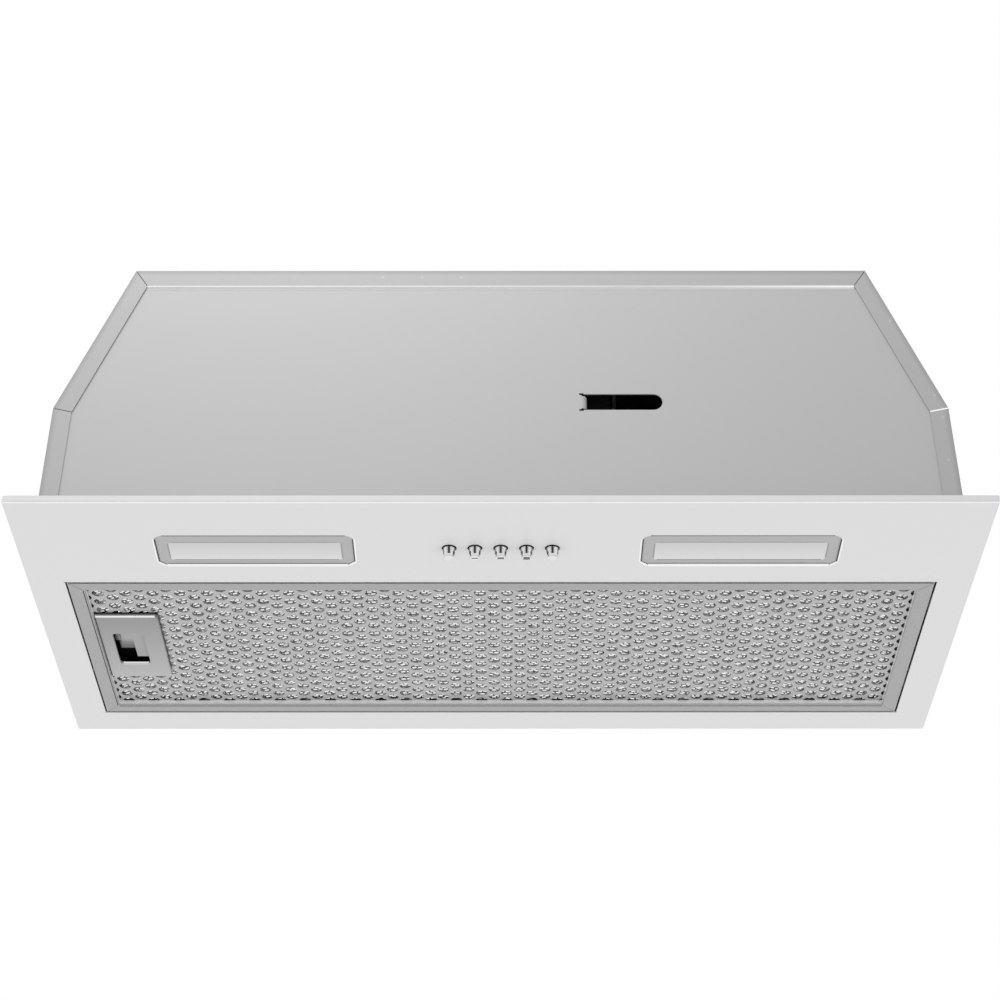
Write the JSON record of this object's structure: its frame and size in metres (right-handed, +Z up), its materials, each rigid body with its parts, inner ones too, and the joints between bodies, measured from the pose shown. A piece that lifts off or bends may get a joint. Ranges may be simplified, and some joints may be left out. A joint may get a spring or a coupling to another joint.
{
  "type": "under-cabinet range hood",
  "caption": "Built-in under-cabinet range hood: flat face panel with lights, push buttons and a hinged, latched grease filter below a blower casing with a top outlet and back-draft flaps.",
  "frame": {"origin": "centre of the face panel, on the plane of its turned-in flange, which meets the cabinet's underside", "axes": "+X to the right as seen from the control side, +Y to the back, +Z up into the cabinet"},
  "size_m": [0.525, 0.28, 0.2062],
  "materials": {
    "panel_paint": "satin light grey enamel",
    "casing_paint": "satin grey coat over sheet steel",
    "zinc_steel": "zinc plated",
    "filter_aluminium": "mill finish sheet",
    "mesh_aluminium": "bright perforated and expanded foil",
    "latch_grey": "fine matt grey",
    "bezel_grey": "satin grey",
    "lens_opal": "frosted opal",
    "button_chrome": "bright chrome plating on plastic",
    "white_plastic": "plain moulded",
    "black_plastic": "plain moulded",
    "blower_plastic": "plain moulded",
    "board": "white solder mask on an aluminium board",
    "motor_paint": "black enamel on laminated steel",
    "capacitor_can": "drawn can",
    "rubber_black": "soft moulded",
    "lead_grey": "flexible sheath"
  },
  "bodies": {
    "hood": {"face_panel": "panel_paint", "casing_wrap": "casing_paint", "front_plate": "casing_paint", "rear_plate": "casing_paint", "rear_screws": "zinc_steel", "panel_studs": "zinc_steel", "stud_nuts": "zinc_steel", "electrics_cover": "casing_paint", "light_bezel_left": "bezel_grey", "light_bezel_right": "bezel_grey", "light_lens_left": "lens_opal", "light_lens_right": "lens_opal", "light_housing_left": "white_plastic", "light_housing_right": "white_plastic", "led_board_left": "board", "led_board_right": "board", "led_driver": "white_plastic", "switch_block": "black_plastic", "button_spring_off": "zinc_steel", "button_spring_speed_low": "zinc_steel", "button_spring_speed_mid": "zinc_steel", "button_spring_speed_high": "zinc_steel", "button_spring_light": "zinc_steel", "terminal_box": "black_plastic", "terminal_box_lid": "black_plastic", "capacitor": "capacitor_can", "capacitor_clip": "zinc_steel", "volute_left": "blower_plastic", "volute_right": "blower_plastic", "blower_screws": "zinc_steel", "motor": "motor_paint", "motor_bracket": "zinc_steel", "motor_grommets": "rubber_black", "motor_screws": "zinc_steel", "outlet_collar": "black_plastic", "collar_screws": "zinc_steel", "flap_axle": "zinc_steel", "latch_strike": "zinc_steel", "light_leads": "lead_grey", "switch_lead": "lead_grey", "motor_lead": "lead_grey"},
    "filter": {"filter_frame": "filter_aluminium", "filter_skin_lower": "mesh_aluminium", "filter_skin_upper": "mesh_aluminium", "filter_core": "mesh_aluminium", "filter_hooks": "zinc_steel", "latch_plate": "latch_grey", "latch_case": "latch_grey", "latch_spring": "zinc_steel"},
    "latch_slide": {"latch_slide": "latch_grey"},
    "button_off": {"button_off": "button_chrome"},
    "button_speed_low": {"button_speed_low": "button_chrome"},
    "button_speed_mid": {"button_speed_mid": "button_chrome"},
    "button_speed_high": {"button_speed_high": "button_chrome"},
    "button_light": {"button_light": "button_chrome"},
    "impeller": {"impeller": "blower_plastic", "motor_shaft": "zinc_steel", "shaft_nut": "zinc_steel"},
    "flap_front": {"flap_front": "black_plastic"},
    "flap_rear": {"flap_rear": "black_plastic"}
  },
  "joints": [
    {"name": "filter_swing", "type": "hinge", "parent": "hood", "child": "filter", "pos_m": [0.24475, 0.03215, -0.00205], "axis": [0, -1, 0], "range_deg": [0, 70]},
    {"name": "latch_pull", "type": "slide", "parent": "filter", "child": "latch_slide", "axis": [1, 0, 0], "range_m": [0, 0.005], "stiffness_N_per_m": 400, "springref_m": -0.005, "deforming": ["latch_spring"]},
    {"name": "press_off", "type": "slide", "parent": "hood", "child": "button_off", "axis": [0, 0, 1], "range_m": [0, 0.003], "stiffness_N_per_m": 300, "springref_m": -0.003, "deforming": ["button_spring_off"]},
    {"name": "press_speed_low", "type": "slide", "parent": "hood", "child": "button_speed_low", "axis": [0, 0, 1], "range_m": [0, 0.003], "stiffness_N_per_m": 300, "springref_m": -0.003, "deforming": ["button_spring_speed_low"]},
    {"name": "press_speed_mid", "type": "slide", "parent": "hood", "child": "button_speed_mid", "axis": [0, 0, 1], "range_m": [0, 0.003], "stiffness_N_per_m": 300, "springref_m": -0.003, "deforming": ["button_spring_speed_mid"]},
    {"name": "press_speed_high", "type": "slide", "parent": "hood", "child": "button_speed_high", "axis": [0, 0, 1], "range_m": [0, 0.003], "stiffness_N_per_m": 300, "springref_m": -0.003, "deforming": ["button_spring_speed_high"]},
    {"name": "press_light", "type": "slide", "parent": "hood", "child": "button_light", "axis": [0, 0, 1], "range_m": [0, 0.003], "stiffness_N_per_m": 300, "springref_m": -0.003, "deforming": ["button_spring_light"]},
    {"name": "impeller_spin", "type": "hinge", "parent": "hood", "child": "impeller", "pos_m": [0, -0.0337, 0.094], "axis": [1, 0, 0], "continuous": true},
    {"name": "flap_front_lift", "type": "hinge", "parent": "hood", "child": "flap_front", "pos_m": [0, 0.008, 0.16346], "axis": [-1, 0, 0], "range_deg": [0, 75]},
    {"name": "flap_rear_lift", "type": "hinge", "parent": "hood", "child": "flap_rear", "pos_m": [0, 0.008, 0.16346], "axis": [1, 0, 0], "range_deg": [0, 75]}
  ]
}
